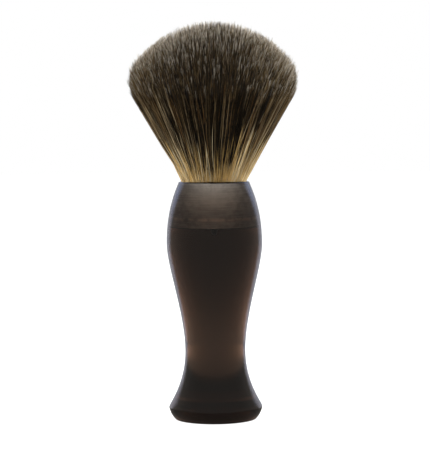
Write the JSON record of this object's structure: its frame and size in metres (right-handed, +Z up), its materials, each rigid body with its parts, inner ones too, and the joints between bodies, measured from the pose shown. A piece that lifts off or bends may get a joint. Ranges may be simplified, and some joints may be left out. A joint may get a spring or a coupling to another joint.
{
  "type": "shaving brush",
  "caption": "Upright shaving brush with a fanned, domed hair knot set in a turned vase-shaped handle of clear smoked resin.",
  "frame": {"origin": "centre of the handle's flat base, which the brush stands on", "axes": "+Z up the turning axis, from the base to the crown of the hair; the brush is round about it, so +X and +Y are free"},
  "size_m": [0.0578, 0.0578, 0.1334],
  "materials": {
    "smoked_resin": "polished",
    "adhesive": "satin",
    "knot_resin": "satin",
    "twine": "matte",
    "hair": "satin"
  },
  "bodies": {
    "root": {"handle": "smoked_resin", "setting_adhesive": "adhesive", "knot_base": "knot_resin", "binding_cord": "twine", "hair_bundle": "hair"}
  },
  "joints": []
}
